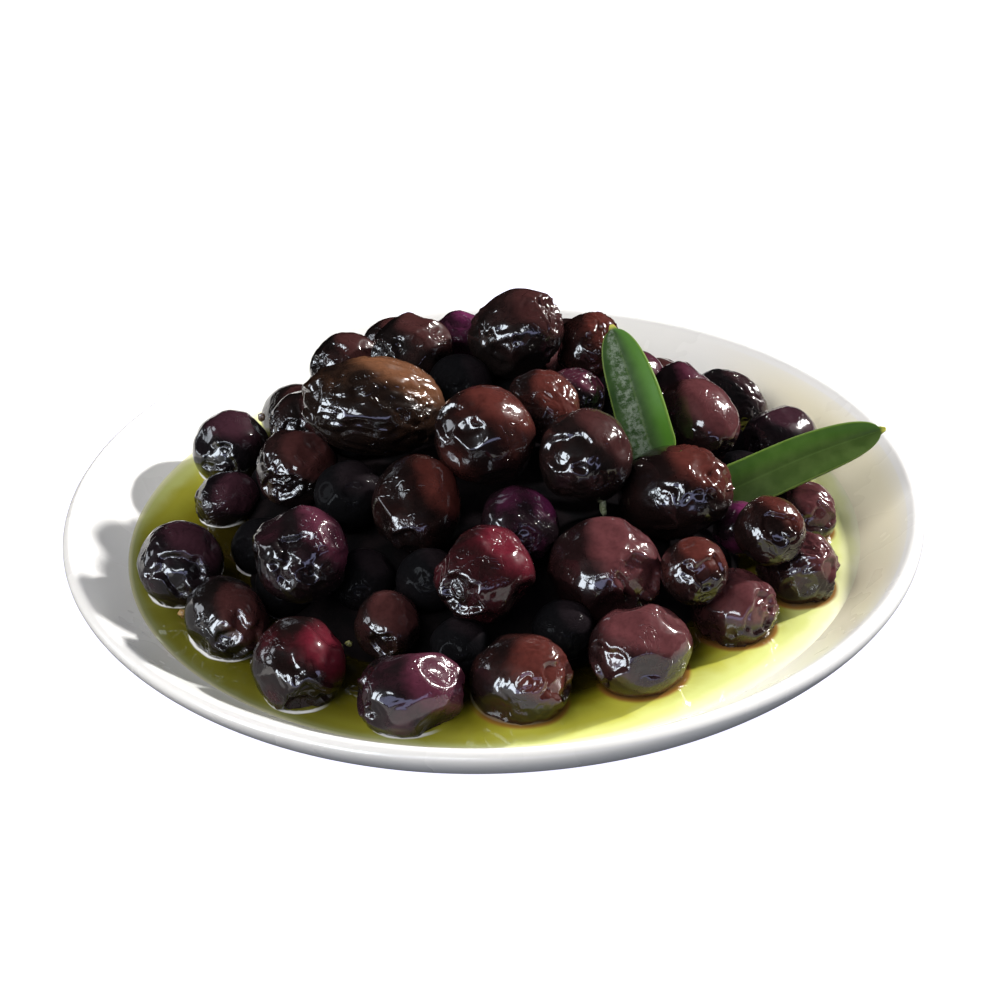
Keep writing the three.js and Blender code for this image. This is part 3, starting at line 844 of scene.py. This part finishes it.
def leaf_piece(name, midrib, half_width, faces, wave, sunny_side, **colours):
    """A blade cupped and rippled along its midrib, which lies in a shallow groove."""
    bm = bmesh.new()
    blade = bm.loops.layers.uv.new("blade")
    bmesh.ops.create_grid(bm, x_segments=LEAF_GRID[0], y_segments=LEAF_GRID[1], size=0.5)
    for face in bm.faces:
        for loop in face.loops:
            loop[blade].uv = (loop.vert.co.x + 0.5, sunny_side * loop.vert.co.y + 0.5)
    for vert in bm.verts:
        along, across = vert.co.x + 0.5, 2 * vert.co.y
        middle = spline(midrib, along)
        ahead, behind = spline(midrib, min(1, along + 0.01)), spline(midrib, max(0, along - 0.01))
        forward = (ahead - behind).normalized()
        side = Vector(faces).cross(forward).normalized()
        normal = forward.cross(side)
        share = leaf_width(along)
        width = half_width * share
        rippled = math.sin(2 * math.pi * LEAF_RIPPLES * along)
        rise = LEAF_CUP * across * across + wave * across * rippled
        groove = GROOVE_DEPTH * min(1.0, 2 * share) * bulge(across * width, GROOVE_WIDTH)
        vert.co = middle + side * width * across + normal * (rise * share - groove)
    bmesh.ops.recalc_face_normals(bm, faces=bm.faces)
    bmesh.ops.solidify(bm, geom=bm.faces, thickness=LEAF_THICKNESS)
    green = leaf_material(name + "_green", **colours)
    finish_piece(name + "_blade", bm, green, name)


# ------------------------------------------------------------------ stage


def floor():
    """A pale table top, bright to the camera alone, so it tints nothing that stands on it."""
    bm = bmesh.new()
    bmesh.ops.create_grid(bm, x_segments=1, y_segments=1, size=6.0)
    mesh = bpy.data.meshes.new("floor")
    bm.to_mesh(mesh)
    bm.free()
    ground = bpy.data.objects.new("floor", mesh)
    bpy.context.scene.collection.objects.link(ground)
    pale = Shader("pale_floor")
    pale.set(Base_Color=(0.3, 0.3, 0.3, 1), Roughness=0.9)
    pale.set(Emission_Color=(1.0, 1.0, 1.25, 1), Emission_Strength=1.0)
    mesh.materials.append(pale.material)
    ground.visible_diffuse = False
    ground.visible_glossy = False


def direction(azimuth, elevation):
    """A unit vector, its azimuth counted from +X towards +Y."""
    a, e = math.radians(azimuth), math.radians(elevation)
    return Vector((math.cos(a) * math.cos(e), math.sin(a) * math.cos(e), math.sin(e)))


def aimed(name, data, place, target):
    """A light that the camera doesn't see, at a place and turned to a target."""
    lamp = bpy.data.objects.new(name, data)
    lamp.location = place
    lamp.rotation_mode = "QUATERNION"
    lamp.rotation_quaternion = (Vector(target) - Vector(place)).to_track_quat("-Z", "Y")
    lamp.visible_camera = False
    bpy.context.scene.collection.objects.link(lamp)
    return lamp


def softbox(name, azimuth, elevation, distance, width, height, radiance, colour, seen_by):
    """A soft light of this brightness, either seen in reflections or lighting dull surfaces."""
    data = bpy.data.lights.new(name, "AREA")
    data.shape = "RECTANGLE"
    data.size, data.size_y = width, height
    data.energy = radiance * math.pi * width * height
    data.color = colour
    lamp = aimed(name, data, direction(azimuth, elevation) * distance, (0, 0, 0.02))
    lamp.visible_glossy = seen_by == "gloss"
    lamp.visible_diffuse = seen_by == "dull"


def lights():
    """Low sun from the right, windows round the left, and a plain sky."""
    key = bpy.data.lights.new("key", "SUN")
    key.energy = 5.2
    key.angle = math.radians(3.6)
    key.color = (1.0, 0.97, 0.93)
    aimed("key", key, direction(30, 26), (0, 0, 0))
    softbox("sun_glow", 30, 26, 1.0, 0.19, 0.19, 36, (1.0, 0.98, 0.96), "gloss")
    softbox("window_left", 211, 12, 1.0, 0.38, 0.54, 20, (0.84, 0.92, 1.0), "gloss")
    softbox("window_mid", 235, 10, 1.0, 0.23, 0.38, 19, (0.84, 0.92, 1.0), "gloss")
    softbox("window_front", 258, 26, 1.1, 0.27, 0.14, 17, (0.86, 0.93, 1.0), "gloss")
    softbox("low_sky", 270, 9, 1.2, 2.4, 0.22, 3.2, (0.58, 0.62, 1.0), "gloss")
    softbox("window_back", 170, 14, 1.0, 0.30, 0.26, 5, (0.86, 0.92, 1.0), "gloss")
    softbox("high_fill", 215, 47, 1.2, 1.4, 1.0, 3.6, (1.0, 0.96, 0.90), "dull")
    world = bpy.data.worlds.new("studio")
    world.use_nodes = True
    sky = world.node_tree.nodes["Background"]
    sky.inputs["Color"].default_value = (0.86, 0.90, 1.0, 1)
    sky.inputs["Strength"].default_value = 0.28
    world.cycles_visibility.glossy = False
    bpy.context.scene.world = world


def camera():
    """In front and a little above, turned a hair, at the distance a diner sees the dish from."""
    target = Vector((1.56, 6.1, 15)) * MM
    distance = 0.540
    elevation = math.radians(31.12)
    roll = math.radians(-1.85)
    back = Vector((0, -math.cos(elevation), math.sin(elevation)))
    right = Vector((1, 0, 0))
    up = back.cross(right)
    across = right * math.cos(roll) + up * math.sin(roll)
    upward = up * math.cos(roll) - right * math.sin(roll)
    data = bpy.data.cameras.new("camera")
    data.sensor_width = 36
    data.lens = 91.1
    data.clip_start = 0.02
    eye = bpy.data.objects.new("camera", data)
    turn = Matrix((across, upward, back)).transposed()
    eye.matrix_world = Matrix.Translation(target + back * distance) @ turn.to_4x4()
    bpy.context.scene.collection.objects.link(eye)
    bpy.context.scene.camera = eye


camera()
lights()
floor()
dish_piece()
oil_piece()
core_piece()
olive_pieces()
crumb_pieces()
for leaf_name, leaf_sizes in LEAVES.items():
    leaf_piece(leaf_name, **leaf_sizes)
bpy.context.scene.view_settings.view_transform = "Standard"
